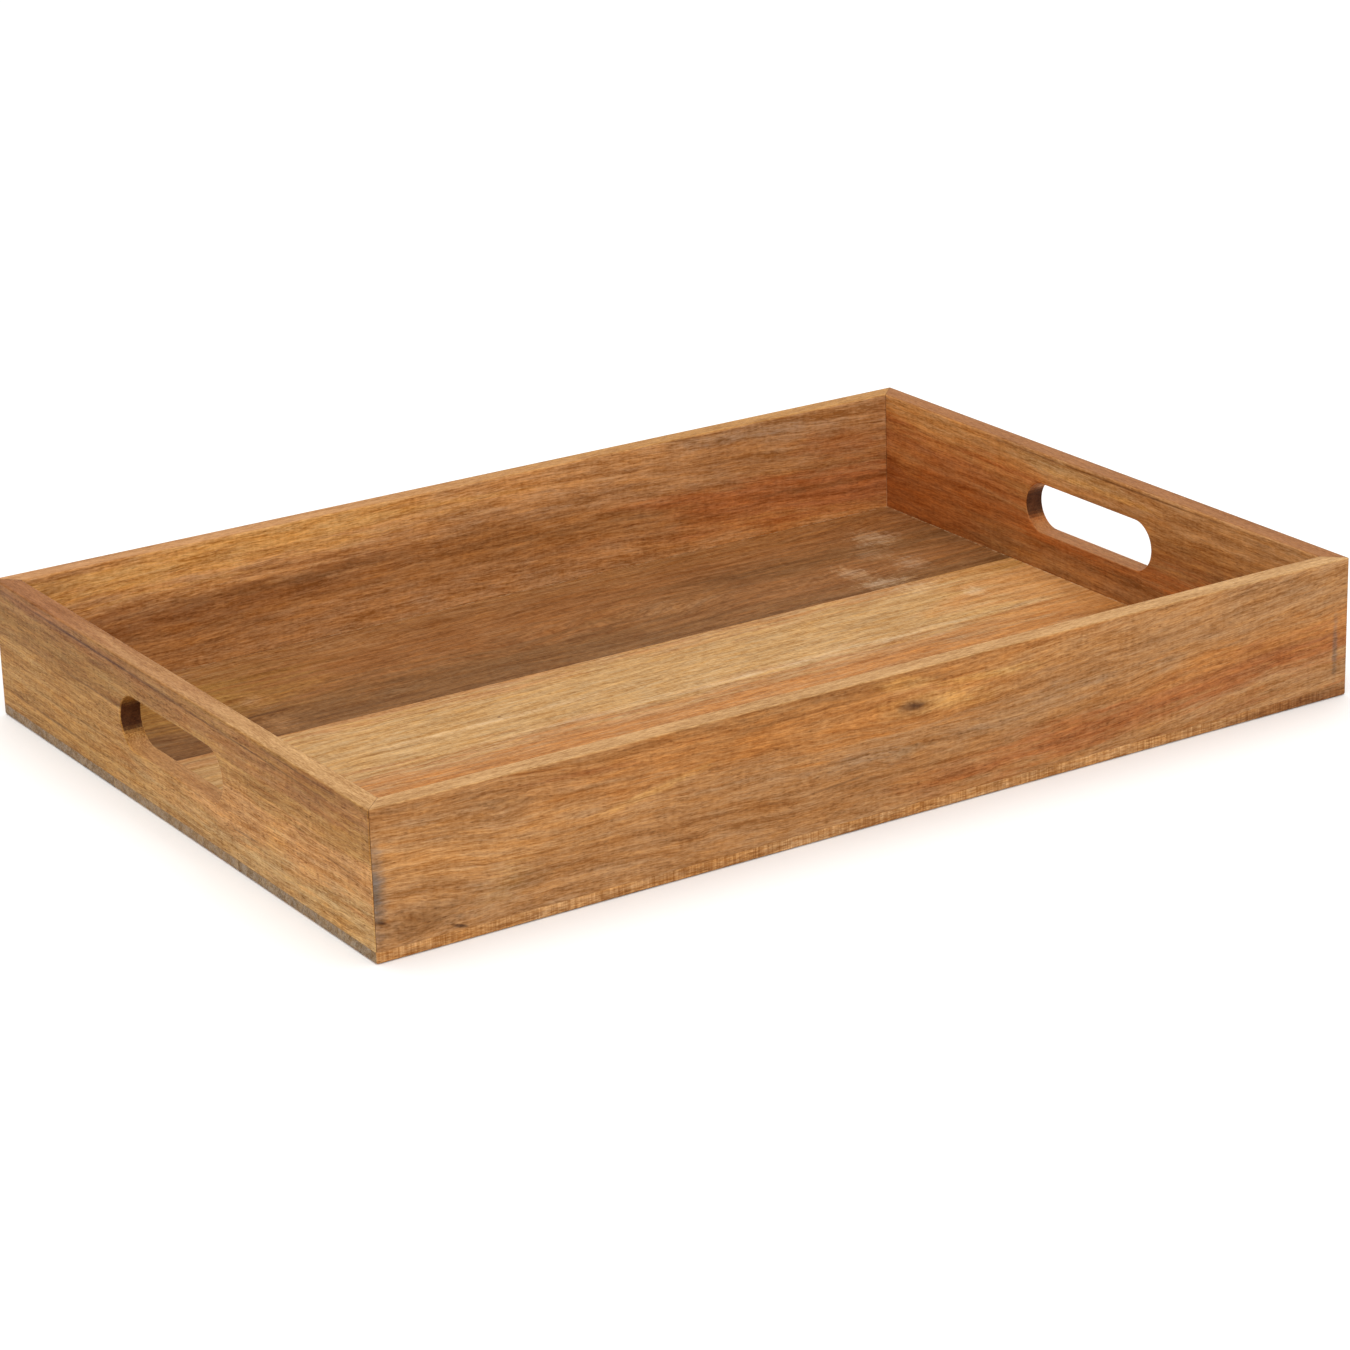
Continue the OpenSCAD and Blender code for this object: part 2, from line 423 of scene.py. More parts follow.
            # tone, partly painted shade and red light bounced from that wall
            (195, 30, "tan nut copper honey honey honey ochre"),
        ],
        "marks": [
            (60, -1, 170, 4.0, 0.6, "cream", 0.35, 0.7),
            (-80, 18, 110, 2.2, 0.4, "cream", 0.40, 0.8),
            (120, -14, 120, 2.0, 0.5, "tan", 0.55, 0.8),
            (-190, -12, 60, 1.0, 0.4, "umber", 0.50, 0.6),
            (176, 52, 14, 8, 0, "cream", 0.40, 1.6),
            (195, 30, 7, 9, 0, "cream", 0.45, 1.6),
            (-124, -27.5, 32, 0.8, 0, "umber", 0.70, 0.5),
            (-78, 21, 1.2, 1.0, 0, "heart", 0.80, 0.3),
        ],
    },
    "base_board_front": {
        "slot": "acacia_base_front",
        "axes": ("X", "Y"),
        "depth": ("Z", -1, 5.0),
        "span": (-175.0, -58.0),
        "pith": (-230.0, 50.0),
        "slope": -0.006,
        "wander": (4.0, 2.0, 0.6),
        "rings": 0.4,
        "contrast": 1.1,
        "pores": 0.5,
        "balance": (0.90, 0.96, 1.0),
        "seed": 64.4,
        "end": "ash",
        "stations": [
            (-80, 0, "honey tan oak gold honey nut tan"),
            (180, 40, "umber nut tan tan oak tan tan"),
        ],
        "marks": [
            (-60, -96, 150, 4.0, 0.6, "gold", 0.40, 0.8),
            (80, -128, 120, 3.0, 0.5, "umber", 0.40, 0.8),
            (-140, -146, 90, 2.0, 0.5, "walnut", 0.35, 0.7),
            (150, -84, 70, 2.4, 0.4, "russet", 0.45, 0.8),
        ],
    },
}


def acacia(name, tints):
    """Oiled acacia, planed, sanded and wiped with oil: satin, with growth rings, long streaks and open pores.
    The pattern is solid, so a board shows long grain on its faces and ring ends on its cut ends."""
    board = BOARD_DEFAULTS | BOARDS[name]
    material, t = new_material("oiled_acacia_" + name)
    seed = board["seed"]
    is_base = name.startswith("base")

    def tone(key):
        return tuple(getattr(tints, key))

    def calc(operation, a, b=None, c=None):
        return add(t, "ShaderNodeMath", (a, b, c), operation=operation)

    def swing(value, amount, base):
        """base plus a noise value's distance from its middle, times amount."""
        return calc("MULTIPLY_ADD", calc("SUBTRACT", value, 0.5), amount, base)

    def spread(value, low, high, to_low=0.0, to_high=1.0, kind="SMOOTHSTEP"):
        return add(t, "ShaderNodeMapRange", (value, low, high, to_low, to_high), interpolation_type=kind)

    def blend(factor, a, b, kind="MIX"):
        return add(t, "ShaderNodeMix", {0: factor, 6: a, 7: b}, data_type="RGBA", blend_type=kind).outputs[2]

    def tinted(base, share, tint):
        """A colour with a tint multiplied into a share of it."""
        return blend(share, base, blend(1.0, base, tint, "MULTIPLY"))

    # Millimetres in the tray's frame, turned so that x runs along the grain, y across the face, z into it
    place = add(t, "ShaderNodeTexCoord")
    scale = {0: place.outputs["Object"], "Scale": MM_PER_METRE}
    mm = add(t, "ShaderNodeVectorMath", scale, operation="SCALE")
    xyz = add(t, "ShaderNodeSeparateXYZ", (mm,))
    along = xyz.outputs["XYZ".index(board["axes"][0])]
    across = xyz.outputs["XYZ".index(board["axes"][1])]
    depth_axis, depth_sign, depth_offset = board["depth"]
    depth = calc("MULTIPLY_ADD", xyz.outputs["XYZ".index(depth_axis)], float(depth_sign), depth_offset)
    grain = add(t, "ShaderNodeCombineXYZ", (along, across, depth))
    flat = add(t, "ShaderNodeCombineXYZ", (along, across, 0.0))

    def stretched(field, run, width, detail, rough, shift):
        """Noise whose broadest features are run mm long and width mm wide."""
        q = add(
            t, "ShaderNodeMapping",
            {0: field, 1: (seed + shift, seed - shift, shift), 3: (1 / run, 1 / width, 1 / width)},
            vector_type="POINT",
        )
        return add(
            t, "ShaderNodeTexNoise", {"Vector": q, "Scale": 1.0, "Detail": detail, "Roughness": rough}
        )

    def oval(m_along, m_across, reach_along, reach_across, turn=0.0):
        """The face measured from a mark's centre, in its reaches."""
        return add(
            t, "ShaderNodeMapping",
            {
                0: flat, 1: (m_along, m_across, 0),
                2: (0, 0, math.radians(turn)), 3: (reach_along, reach_across, 1),
            },
            vector_type="TEXTURE",
        )

    # Grain lines bow along the board, run aside round knots, and wander at three scales
    bow, level = board["bow"]
    off_level = calc("SUBTRACT", along, level)
    line = calc("SUBTRACT", across, calc("MULTIPLY", calc("MULTIPLY", off_level, off_level), bow))
    line = calc("MULTIPLY_ADD", along, -board["slope"], line)
    for k_along, k_across, reach_along, reach_across, push in board["knots"]:
        q = oval(k_along, k_across, reach_along, reach_across)
        r2 = add(t, "ShaderNodeVectorMath", (q, q), operation="DOT_PRODUCT").outputs["Value"]
        fade = calc("EXPONENT", calc("MULTIPLY", r2, -1.0))
        q_across = add(t, "ShaderNodeSeparateXYZ", (q,)).outputs[1]
        line = calc("SUBTRACT", line, calc("MULTIPLY", calc("MULTIPLY", q_across, fade), push))
    for amount, (run, width, shift) in zip(board["wander"], WANDER_SCALES):
        line = swing(stretched(grain, run, width, 1.0, 0.5, shift), 2.0 * amount, line)
    flow = add(t, "ShaderNodeCombineXYZ", (along, line, depth))

    # Tones across the board at each station, carried by the grain lines and feathered into streaks
    low, high = board["span"]
    feather = stretched(flow, 55, 4.0, 4.0, 0.7, 23.0)
    across_part = swing(feather, 0.75, spread(line, low, high, kind="LINEAR"))
    broad = stretched(flow, 90, 9, 3.0, 0.6, 2.0)
    colour = None
    for start, ease, names in board["stations"]:
        tones = [tone(key) for key in names.split()]
        ramp = add(t, "ShaderNodeValToRGB", (across_part,))
        elements = ramp.color_ramp.elements
        while len(elements) < len(tones):
            elements.new(0.5)
        for i, rgba in enumerate(tones):
            elements[i].position = i / (len(tones) - 1)
            elements[i].color = rgba
        if colour is None:
            colour = ramp.outputs[0]
        else:
            reached = spread(swing(broad, 220.0, along), start - ease, start + ease)
            colour = blend(reached, colour, ramp.outputs[0])

    # Growth rings: bands of uneven width about a pith that lies outside the board
    pith_across, pith_depth = board["pith"]
    a = calc("SUBTRACT", line, pith_across)
    b = calc("SUBTRACT", depth, pith_depth)
    radius = calc("SQRT", calc("ADD", calc("MULTIPLY", a, a), calc("MULTIPLY", b, b)))
    ring = add(
        t, "ShaderNodeTexNoise", {"W": radius, "Scale": 1 / 5.0, "Detail": 4.0, "Roughness": 0.8},
        noise_dimensions="1D",
    )
    streak = stretched(flow, 46, 4.6, 6.0, 0.8, 7.0)
    hair = stretched(flow, 12, 0.9, 2.0, 0.6, 53.0)
    fibre = stretched(flow, 3.4, 0.55, 2.0, 0.6, 13.0)
    ripple = stretched(flow, 2.2, 5.0, 2.0, 0.6, 19.0)
    hue = stretched(flow, 26, 3.6, 5.0, 0.78, 31.0)

    # One dark-to-light value from all of them; dark wood is redder and more saturated than light wood
    contrast = board["contrast"]
    value = swing(ring, board["rings"] * 2.0 * contrast, 0.5)
    for part, weight in ((streak, 2.4), (hair, 1.3), (fibre, 1.4), (ripple, 0.6)):
        value = swing(part, weight * contrast, value)
    shade = blend(value, (0.64, 0.52, 0.34, 1), (1.36, 1.48, 1.66, 1))
    warmth = blend(swing(hue, 3.2, 0.5), (0.93, 1.02, 1.22, 1), (1.07, 0.98, 0.78, 1))
    shade = blend(1.0, shade, warmth, "MULTIPLY")
    shade = blend(1.0, shade, (*board["balance"], 1.0), "MULTIPLY")
    colour = blend(1.0, colour, shade, "MULTIPLY")

    # Marks: knots, checks, stains and pale patches, each a ragged-edged oval on the face
    ragged = stretched(grain, 9, 3, 4.0, 0.65, 3.0)
    brushed = stretched(grain, 3.2, 7, 6.0, 0.8, 71.0)
    for *where, key, strength, ragging in board["marks"]:
        r = add(t, "ShaderNodeVectorMath", (oval(*where),), operation="LENGTH").outputs["Value"]
        on_surface = ragging > SURFACE_RAGGEDNESS
        edge = brushed if on_surface else ragged
        mask = spread(swing(edge, 2.2 * ragging, r), 0.15, 1.15, strength, 0.0)
        if on_surface:
            mask = calc("MULTIPLY", mask, calc("LESS_THAN", depth, SURFACE_DEPTH))
        colour = blend(mask, colour, blend(1.0, tone(key), shade, "MULTIPLY"))

    # Growth lines: where a ring ends the wood is darker, in a thin line that comes and goes along the board
    late = add(
        t, "ShaderNodeTexNoise", {"W": radius, "Scale": 1 / 2.6, "Detail": 1.0, "Roughness": 0.5},
        noise_dimensions="1D",
    )
    late = spread(calc("ABSOLUTE", calc("SUBTRACT", late, 0.56)), 0.0, 0.035, 1.0, 0.0)
    late = calc("MULTIPLY", late, spread(stretched(flow, 30, 3, 3.0, 0.6, 61.0), 0.46, 0.62, 0.0, 1.0))
    colour = tinted(colour, calc("MULTIPLY", late, board["pores"]), (0.66, 0.52, 0.38, 1))

    # Dark flecks: short strokes of dark wood, crowded in some places and missing in others
    fleck = spread(stretched(flow, 11, 0.75, 2.0, 0.55, 37.0), 0.56, 0.68)
    patch = spread(stretched(flow, 40, 10, 2.0, 0.5, 41.0), 0.42, 0.62, 0.1, 1.0)
    fleck = calc("MULTIPLY", fleck, patch)
    colour = tinted(colour, calc("MULTIPLY", fleck, board["pores"]), (0.66, 0.55, 0.42, 1))

    # Pores: open vessels cut lengthwise into fine dark dashes
    q = add(
        t, "ShaderNodeMapping",
        {0: flow, 1: (seed, 0, 0), 3: (1 / 3.6, 1 / 0.55, 1 / 0.55)},
        vector_type="POINT",
    )
    cells = add(t, "ShaderNodeTexVoronoi", {"Vector": q, "Scale": 1.0}, voronoi_dimensions="3D")
    dash = spread(cells.outputs["Distance"], 0.12, 0.36, 1.0, 0.0)
    chance = add(t, "ShaderNodeSeparateColor", (cells.outputs["Color"],)).outputs[0]
    crowd = spread(stretched(flow, 50, 9, 2.0, 0.5, 29.0), 0.35, 0.65, 0.15, 0.8, "LINEAR")
    pore = calc("MULTIPLY", dash, calc("LESS_THAN", chance, crowd))
    colour = tinted(colour, calc("MULTIPLY", pore, board["pores"]), (0.5, 0.4, 0.3, 1))

    # The rim's upward faces get their own tone: partly the wood sanded harder than the faces, partly painted
    # light and sheen from above
    normal = add(t, "ShaderNodeNewGeometry").outputs["True Normal"]
    facing = add(t, "ShaderNodeSeparateXYZ", (normal,))
    height_mm = xyz.outputs["Z"]
    rim_mm = MM_PER_METRE * RIM
    near_rim = spread(height_mm, rim_mm - 2.0, rim_mm - 0.8)
    top = calc("MULTIPLY", spread(facing.outputs["Z"], 0.35, 0.9), near_rim)
    rim_low, rim_high, rim_share = board["rim"]
    rim_tone_and_light = blend(spread(swing(broad, 300.0, along), -120.0, 120.0), tone(rim_low), tone(rim_high))
    # Painted light and sheen on the upward faces of the rim, laid over its sanded tone
    sanded_and_lit_rim = calc("MULTIPLY", top, swing(streak, 0.6, rim_share))
    speckle = swing(fibre, 2.2, swing(streak, 2.0, 0.5))
    speckle = blend(speckle, (0.68, 0.60, 0.48, 1), (1.32, 1.40, 1.52, 1))
    colour = blend(sanded_and_lit_rim, colour, blend(1.0, rim_tone_and_light, speckle, "MULTIPLY"))

    # Saw marks across the long edges of a base board
    if is_base:
        sawn = spread(calc("ABSOLUTE", facing.outputs["Y"]), 0.72, 0.95)
        teeth = swing(stretched(grain, 1.1, 30, 3.0, 0.7, 43.0), 2.6, 0.5)
        kerf = blend(teeth, (0.72, 0.60, 0.45, 1), (1.25, 1.35, 1.5, 1))
        colour = tinted(colour, sawn, kerf)

    # Cut ends: in their own tone, and darker toward the top of a wall. On the end walls the cut ends are the
    # ends of the slots, whose dark heart tone is partly the end grain and partly painted shade inside the
    # slot
    n_along = facing.outputs["XYZ".index(board["axes"][0])]
    cut_end = spread(calc("ABSOLUTE", n_along), 0.72, 0.95)
    end_tone = blend(spread(height_mm, 30.0, 46.0, 0.0, 0.7), tone(board["end"]), tone("heart"))
    colour = blend(cut_end, colour, blend(1.0, end_tone, shade, "MULTIPLY"))

    # The ledge of a slot, left fuzzy and pale by the cutter
    if "end" in name:
        ledge = calc("MULTIPLY", spread(facing.outputs["Z"], 0.6, 0.9), calc("LESS_THAN", height_mm, 40.0))
        fuzz = blend(swing(fibre, 2.4, 0.5), (0.7, 0.66, 0.6, 1), (1.3, 1.34, 1.4, 1))
        colour = blend(calc("MULTIPLY", ledge, 0.55), colour, blend(1.0, tone("oak"), fuzz, "MULTIPLY"))

    # Glue line at the mitres of a wall, and along the joints of a base board
    if is_base:
        joints = [calc("ABSOLUTE", calc("SUBTRACT", across, y)) for y in board["span"] if abs(y) < 100]
        edge = joints[0] if len(joints) == 1 else calc("MINIMUM", *joints)
    else:
        half = MM_PER_METRE * (LENGTH if board["axes"][0] == "X" else WIDTH) / 2
        edge = calc("SUBTRACT", calc("SUBTRACT", half, calc("ABSOLUTE", along)), depth)
    starved = spread(ragged, 0.35, 0.60, 0.25, 1.0)
    glue = calc("MULTIPLY", spread(edge, 0.08, 0.35, 0.6, 0.0), starved)
    glue_tone = tone("glue")
    if not is_base:
        # Low in an inner corner the squeezed-out glue was sanded pale, and higher up it took the oil
        sanded = calc("MULTIPLY", spread(height_mm, 10.0, 30.0, 0.8, 0.0), calc("GREATER_THAN", depth, 5.0))
        glue_tone = blend(sanded, tone("glue"), tone("cream"))
    colour = blend(glue, colour, glue_tone)

    # Sanding dust caught where the base meets the walls
    if is_base:
        from_ends = calc("SUBTRACT", MM_PER_METRE * (LENGTH / 2 - THICK), calc("ABSOLUTE", xyz.outputs["X"]))
        from_sides = calc("SUBTRACT", MM_PER_METRE * (WIDTH / 2 - THICK), calc("ABSOLUTE", xyz.outputs["Y"]))
        gap = spread(calc("ABSOLUTE", calc("MINIMUM", from_ends, from_sides)), 0.2, 1.2, 1.0, 0.0)
        gap = calc("MULTIPLY", gap, calc("GREATER_THAN", facing.outputs["Z"], 0.5))
        dust = calc("MULTIPLY", gap, spread(stretched(grain, 4, 4, 3.0, 0.7, 67.0), 0.46, 0.60, 0.0, 0.55))
        colour = blend(dust, colour, tone("cream"))

    # Satin oil film: rougher over pores and on cut ends
    roughness = swing(streak, -0.4, 0.52)
    roughness = calc("MULTIPLY_ADD", pore, 0.15, roughness)
    roughness = calc("MULTIPLY_ADD", cut_end, 0.15, roughness)
    height = calc("MULTIPLY_ADD", fibre, 0.35, calc("MULTIPLY", ring, 0.20))
    height = calc("MULTIPLY_ADD", streak, 0.60, height)
    height = calc("MULTIPLY_ADD", pore, -0.45, height)
    bump = add(t, "ShaderNodeBump", {"Strength": 0.6, "Distance": 0.0003, "Height": height})

    surface = add(
        t, "ShaderNodeBsdfPrincipled",
        {
            "Base Color": colour, "Roughness": roughness,
            "IOR": 1.5, "Specular IOR Level": 0.12, "Normal": bump,
        },
    )
    add(t, "ShaderNodeOutputMaterial", {"Surface": surface})
    return material


def drawn_steel(tints):
    """Bright drawn steel wire and strip, sheared to length: fine scratches along the draw, a little oxide."""
    material, t = new_material("drawn_steel")
    place = add(t, "ShaderNodeTexCoord")
    q = add(
        t, "ShaderNodeMapping",
        {0: place.outputs["Object"], 3: (4000.0, 4000.0, 500.0)},
        vector_type="POINT",
    )
    scratch = add(t, "ShaderNodeTexNoise", {"Vector": q, "Scale": 1.0, "Detail": 3.0, "Roughness": 0.6})
    bloom = add(t, "ShaderNodeTexNoise", {"Vector": place.outputs["Object"], "Scale": 900.0, "Detail": 3.0})
    dull = add(t, "ShaderNodeMapRange", (bloom, 0.45, 0.70, 0.0, 0.5))
    steel = tuple(tints.steel)
    oxide = (*(c * 0.45 for c in steel[:3]), 1)
    colour = add(t, "ShaderNodeMix", {0: dull, 6: steel, 7: oxide}, data_type="RGBA").outputs[2]
    roughness = add(t, "ShaderNodeMapRange", (scratch, 0.3, 0.7, 0.25, 0.5))
    bump = add(t, "ShaderNodeBump", {"Strength": 0.3, "Distance": 0.00003, "Height": scratch})
    surface = add(
        t, "ShaderNodeBsdfPrincipled",
        {"Base Color": colour, "Metallic": 1.0, "Roughness": roughness, "Normal": bump},
    )
    add(t, "ShaderNodeOutputMaterial", {"Surface": surface})
    return material


# ---------------------------------------------------------------------------
# Mesh helpers
# ---------------------------------------------------------------------------
def arc(cx, cy, radius, start, end, steps):
    """Points on an arc, angles in degrees, both ends included."""
    angles = [math.radians(start + (end - start) * i / steps) for i in range(steps + 1)]
    return [(cx + radius * math.cos(a), cy + radius * math.sin(a)) for a in angles]


def new_object(name, mesh):
    piece = bpy.data.objects.new(name, mesh)
    bpy.context.scene.collection.objects.link(piece)
    return piece


def baked(piece):
    """The piece with its modifiers turned into a plain mesh, under the same name."""
    evaluated = piece.evaluated_get(bpy.context.evaluated_depsgraph_get())
    mesh = bpy.data.meshes.new_from_object(evaluated)
    piece.modifiers.clear()
    old, piece.data = piece.data, mesh
    bpy.data.meshes.remove(old)
    mesh.name = piece.name
    return piece


def prism(name, outline, low, high, weigh):
    """A solid on a plan outline from z = low to z = high. weigh(middle of an edge, direction) gives its bevel
    width in metres; the widest is rounded in full and the others in proportion."""
    mesh = bpy.data.meshes.new(name)
    bm = bmesh.new()
    weight = bm.edges.layers.float.new("bevel_weight_edge")
    bottom = [bm.verts.new((x, y, low)) for x, y in outline]
    top = [bm.verts.new((x, y, high)) for x, y in outline]
    bm.faces.new(list(reversed(bottom)))
    bm.faces.new(top)
    count = len(outline)
    for i in range(count):
        j = (i + 1) % count
        bm.faces.new((bottom[i], bottom[j], top[j], top[i]))
    widths = {}
    for edge in bm.edges:
        a, b = (v.co for v in edge.verts)
        widths[edge] = weigh((a + b) / 2, (b - a).normalized())
    widest = max(widths.values())
    for edge, width in widths.items():
        edge[weight] = width / widest
    bmesh.ops.recalc_face_normals(bm, faces=bm.faces)
    bm.to_mesh(mesh)
    bm.free()
    piece = new_object(name, mesh)
    bevel = piece.modifiers.new("easing", "BEVEL")
    bevel.limit_method = "WEIGHT"
    bevel.width = widest
    bevel.segments = 4
    bevel.use_clamp_overlap = False
    return baked(piece)


def lathe(profile, places, segments=32):
    """One mesh of solids turned about +Z. The profile is (radius, z), from the axis back to the axis."""
    mesh = bpy.data.meshes.new("lathe")
    bm = bmesh.new()
    for cx, cy in places:
        rings = []
        for radius, z in profile:
            if radius == 0:
                rings.append([bm.verts.new((cx, cy, z))])
            else:
                circle = arc(cx, cy, radius, 0, 360, segments)[:-1]
                rings.append([bm.verts.new((x, y, z)) for x, y in circle])
        for lower, upper in zip(rings, rings[1:]):
            for i in range(segments):
                j = (i + 1) % segments
                below = [lower[k % len(lower)] for k in (i, j)]
                above = [upper[k % len(upper)] for k in (j, i)]
                bm.faces.new(list(dict.fromkeys(below + above)))
    bmesh.ops.recalc_face_normals(bm, faces=bm.faces)
    bm.to_mesh(mesh)
    bm.free()
    return mesh


def cut_away(piece, cutter_mesh):
    """Takes the cutter's volume out of the piece."""
    cutter = new_object("cutter", cutter_mesh)
    boolean = piece.modifiers.new("cut", "BOOLEAN")
    boolean.operation = "DIFFERENCE"
    boolean.solver = "EXACT"
    boolean.object = cutter
    baked(piece)
    bpy.data.objects.remove(cutter)
    bpy.data.meshes.remove(cutter_mesh)
    return piece


def finish_piece(piece, material, node, slot):
    """Smooth shading that keeps the broad faces flat, the material, and the piece's place on the frame."""
    mesh = piece.data
    for polygon in mesh.polygons:
        polygon.use_smooth = True
    mesh.set_sharp_from_angle(angle=SHARP_ANGLE)
    weighted = piece.modifiers.new("flat faces", "WEIGHTED_NORMAL")
    weighted.keep_sharp = True
    weighted.weight = 100
    baked(piece)
    piece.data.materials.clear()
    piece.data.materials.append(material)
    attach(piece, "root")
    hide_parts(node)
    return piece


# ---------------------------------------------------------------------------
# Walls
# ---------------------------------------------------------------------------
def slot_cutter(sizes):
    """A round-ended slot through a wall whose outer face is on y = 0, flared to round its mouths."""
    r = sizes.slot_height / 2
    reach = sizes.slot_length / 2 - r
    ease = sizes.slot_round
    steps = 6
    stations = [(-CUTTER_OVERRUN, ease)]
    for i in range(steps + 1):
        a = math.pi / 2 * i / steps
        stations.append((ease * (1 - math.cos(a)), ease * (1 - math.sin(a))))
    stations += [(THICK - y, grow) for y, grow in reversed(stations)]
    bm = bmesh.new()
    rings = []
    for y, grow in stations:
        outline = arc(reach, 0, r + grow, -90, 90, 24) + arc(-reach, 0, r + grow, 90, 270, 24)
        rings.append([bm.verts.new((x, y, sizes.slot_centre + z)) for x, z in outline])
    for near, far in zip(rings, rings[1:]):
        for i in range(len(near)):
            j = (i + 1) % len(near)
            bm.faces.new((near[i], near[j], far[j], far[i]))
    bm.faces.new(rings[0])
    bm.faces.new(rings[-1])
    bmesh.ops.recalc_face_normals(bm, faces=bm.faces)
    mesh = bpy.data.meshes.new("slot cutter")
    bm.to_mesh(mesh)
    bm.free()
    return mesh


def wall(name, length, turn, reach, has_slot, sizes, tints):
    """One wall, made along X with its outer face on y = 0 and then turned to its side of the tray."""
    half = length / 2
    corner = sizes.corner_round
    outline = (
        arc(half - corner, corner, corner, 270, 315, 4)
        + [(half - THICK, THICK), (THICK - half, THICK)]
        + arc(corner - half, corner, corner, 225, 270, 4)
    )

    def weigh(middle, direction):
        upright = abs(direction.z) > 0.9
        mitre = abs(abs(direction.x) - abs(direction.y)) < 0.01 and middle.y > corner
        if upright:
            on_mitre = abs(half - abs(middle.x) - middle.y) < SAME_PLACE
            return sizes.joint_ease if on_mitre else 0.0
        if mitre:
            return sizes.joint_ease
        if middle.z > RIM - SAME_PLACE:
            return sizes.rim_round
        return sizes.joint_ease

    piece = prism(name, outline, BASE, RIM, weigh)
    if has_slot:
        cut_away(piece, slot_cutter(sizes))
    # Rounded to whole numbers, so that the turn is exact
    quarter = Matrix([[round(cell) for cell in row] for row in Matrix.Rotation(math.radians(turn), 4, "Z")])
    piece.data.transform(quarter @ Matrix.Translation((0, -reach, 0)))
    return finish_piece(piece, acacia(name, tints), name, BOARDS[name]["slot"])


class TRAY_OT_long_walls(bpy.types.Operator):
    """Make the front and back walls, mitred at both ends"""

    bl_idname = "tray.long_walls"
    bl_label = "Long Walls"

    def execute(self, context):
        sizes, tints = context.scene.tray_sizes, context.scene.tray_tints
        wall("front_wall", LENGTH, 0, WIDTH / 2, False, sizes, tints)
        wall("back_wall", LENGTH, 180, WIDTH / 2, False, sizes, tints)
        return {"FINISHED"}


class TRAY_OT_end_walls(bpy.types.Operator):
    """Make the two end walls, mitred, each with its handle slot"""

    bl_idname = "tray.end_walls"
    bl_label = "End Walls"

    def execute(self, context):
        sizes, tints = context.scene.tray_sizes, context.scene.tray_tints
        wall("left_end", WIDTH, -90, LENGTH / 2, True, sizes, tints)
        wall("right_end", WIDTH, 90, LENGTH / 2, True, sizes, tints)
        return {"FINISHED"}


# ---------------------------------------------------------------------------
# Base
# ---------------------------------------------------------------------------
def brad_places(sizes):
    """Where each brad stands, in plan."""
    x_wall, y_wall = LENGTH / 2 - THICK / 2, WIDTH / 2 - THICK / 2
    first = -LENGTH / 2 + sizes.brad_corner_gap
    step = -2 * first / (sizes.long_brads - 1)
    long_side = [(first + i * step, side * y_wall) for side in (-1, 1) for i in range(sizes.long_brads)]
    ends = [(side * x_wall, i * sizes.brad_end_reach) for side in (-1, 1) for i in (-1, 0, 1)]
    return long_side + ends


class TRAY_OT_base_boards(bpy.types.Operator):
    """Make the three edge-glued boards of the base, with the seats for the brad heads"""

    bl_idname = "tray.base_boards"
    bl_label = "Base Boards"

    def execute(self, context):
        sizes, tints = context.scene.tray_sizes, context.scene.tray_tints
        x, y, corner = LENGTH / 2, WIDTH / 2, sizes.corner_round
        joints = (-y, MIDDLE_BOARD[0].y, MIDDLE_BOARD[1].y, y)
        names = ("base_board_front", "base_board_middle", "base_board_back")
        seat, bore = sizes.brad_head + BRAD_CLEARANCE, sizes.brad_shank + BRAD_CLEARANCE
        shoulder = sizes.brad_sink + BRAD_HEAD_THICKNESS
        under, over = -CUTTER_OVERRUN, BASE + CUTTER_OVERRUN
        hole = [(0, under), (seat, under), (seat, shoulder), (bore, shoulder), (bore, over), (0, over)]
        for name, low, high in zip(names, joints, joints[1:]):
            outline = []
            for cx, cy, start in ((x, low, 270), (x, high, 0), (-x, high, 90), (-x, low, 180)):
                if abs(abs(cy) - y) < SAME_PLACE:
                    inward = (cx - math.copysign(corner, cx), cy - math.copysign(corner, cy))
                    outline += arc(*inward, corner, start, start + 90, 6)
                else:
                    outline.append((cx, cy))

            def weigh(middle, direction):
                if abs(direction.z) > 0.9:
                    at_joint = min(abs(middle.y - low), abs(middle.y - high)) < SAME_PLACE
                    return sizes.joint_ease / 2 if at_joint else 0.0
                outer = abs(middle.x) > x - corner or abs(middle.y) > y - corner
                if middle.z < BASE / 2:
                    return sizes.foot_round if outer else sizes.joint_ease / 2
                return sizes.joint_ease if outer else sizes.joint_ease / 2

            piece = prism(name, outline, 0.0, BASE, weigh)
            inside = [p for p in brad_places(sizes) if low < p[1] < high]
            cut_away(piece, lathe(hole, inside))
            finish_piece(piece, acacia(name, tints), name, BOARDS[name]["slot"])
        return {"FINISHED"}


# ---------------------------------------------------------------------------
# Hidden steel, repeated by geometry nodes
# ---------------------------------------------------------------------------
def fixing_tree(name, inputs):
    """An empty geometry tree with named inputs. Gives the tree, its input node, its output node, and the
    identifier of each input by name."""
    tree = bpy.data.node_groups.new(name, "GeometryNodeTree")
    tree.interface.new_socket("Geometry", in_out="INPUT", socket_type="NodeSocketGeometry")
    tree.interface.new_socket("Geometry", in_out="OUTPUT", socket_type="NodeSocketGeometry")
    found = {}
    for label, kind in inputs:
        found[label] = tree.interface.new_socket(label, in_out="INPUT", socket_type=kind).identifier
    return tree, add(tree, "NodeGroupInput"), add(tree, "NodeGroupOutput"), found


